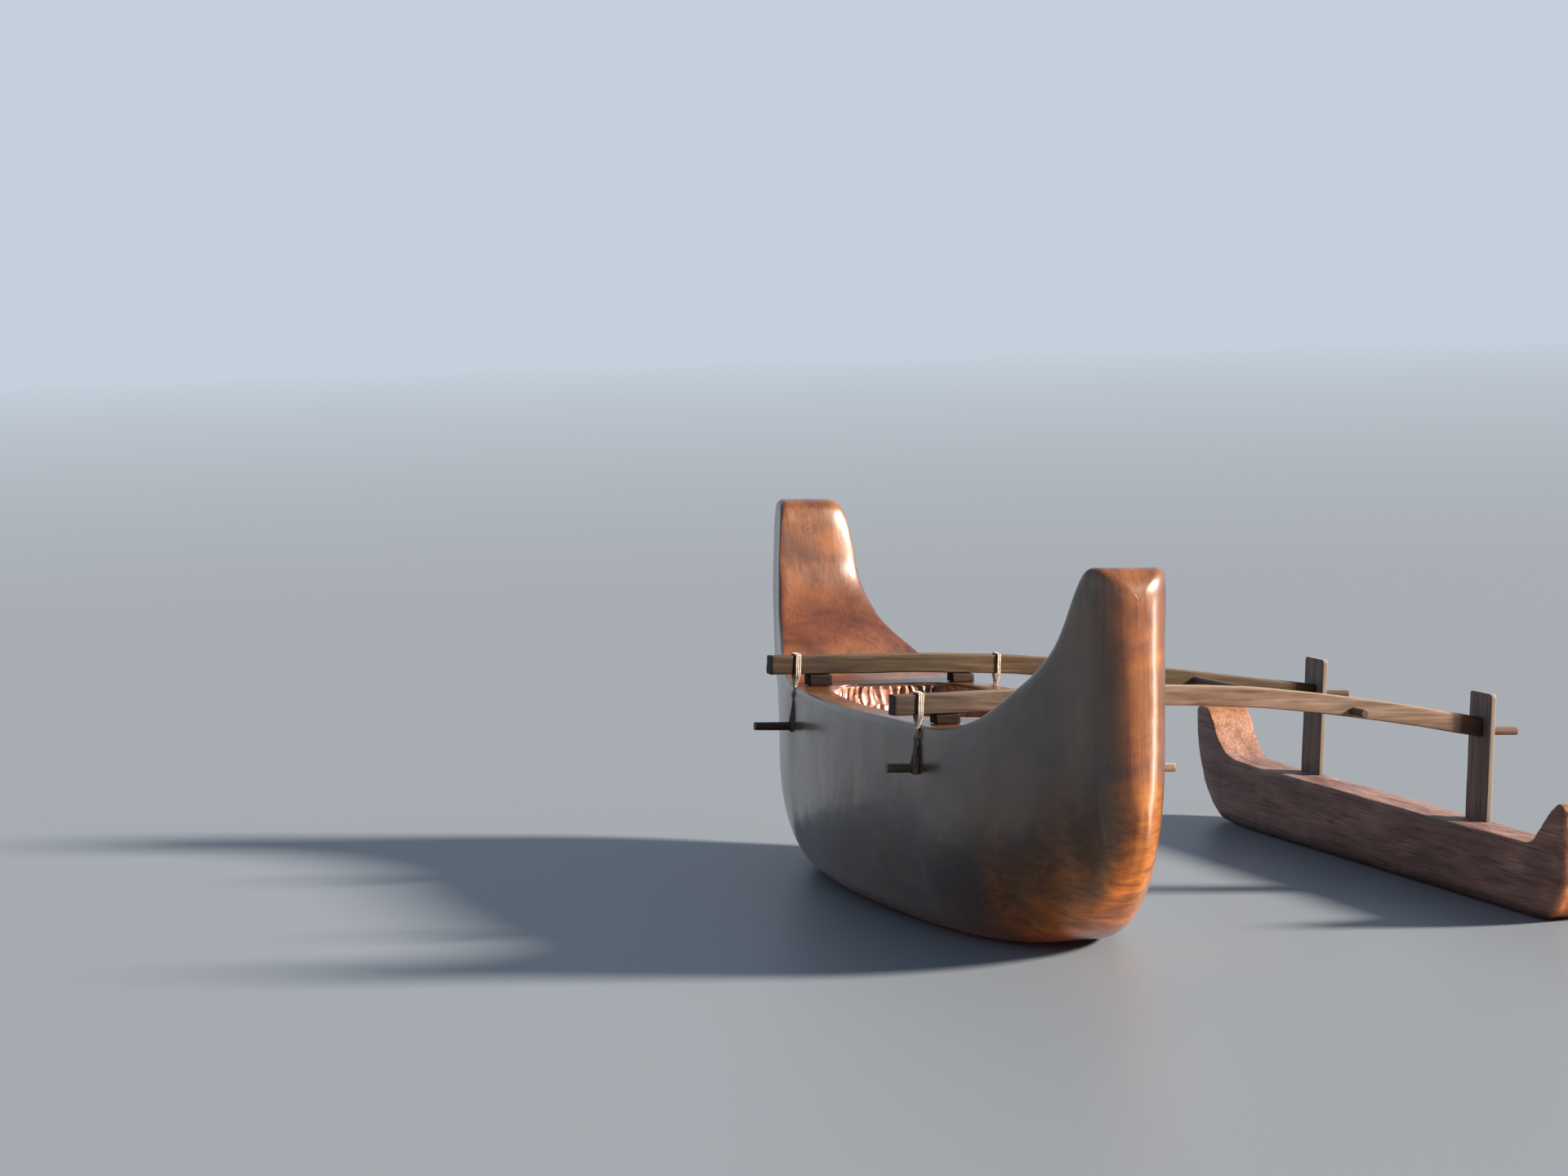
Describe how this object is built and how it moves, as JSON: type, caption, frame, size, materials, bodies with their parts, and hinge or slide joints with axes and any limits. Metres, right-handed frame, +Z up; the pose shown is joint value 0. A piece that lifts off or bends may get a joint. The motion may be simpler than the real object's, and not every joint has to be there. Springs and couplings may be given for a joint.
{
  "type": "carved outrigger canoe model",
  "caption": "Small carved wooden outrigger canoe: varnished dugout hull with tall ends, arched booms lashed to rods through the hull, and a float pegged on posts.",
  "frame": {"origin": "middle of the hull's flat bottom, halfway between the two booms, on the floor", "axes": "+X toward the float, +Y along the hull toward its taller end, +Z up"},
  "size_m": [0.8729, 1.28, 0.4914],
  "materials": {
    "varnished_hull": "orange-brown hardwood under a clear gloss varnish",
    "float_wood": "matte reddish-brown wood, tool marks at the ends",
    "boom_wood": "weathered bare wood, matte",
    "dark_wood": "dark stained wood, matte",
    "pale_rod": "bare round rod, weathered",
    "cord": "twisted natural cord"
  },
  "bodies": {
    "root": {"hull": "varnished_hull", "float": "float_wood", "stretcher_rod": "pale_rod", "boom_near": "boom_wood", "post_near": "dark_wood", "cross_rod_near": "pale_rod", "spacer_near_left": "dark_wood", "lashing_near_left": "cord", "spacer_near_right": "dark_wood", "lashing_near_right": "cord", "boom_far": "boom_wood", "post_far": "dark_wood", "cross_rod_far": "pale_rod", "spacer_far_left": "dark_wood", "lashing_far_left": "cord", "spacer_far_right": "dark_wood", "lashing_far_right": "cord"}
  },
  "joints": []
}
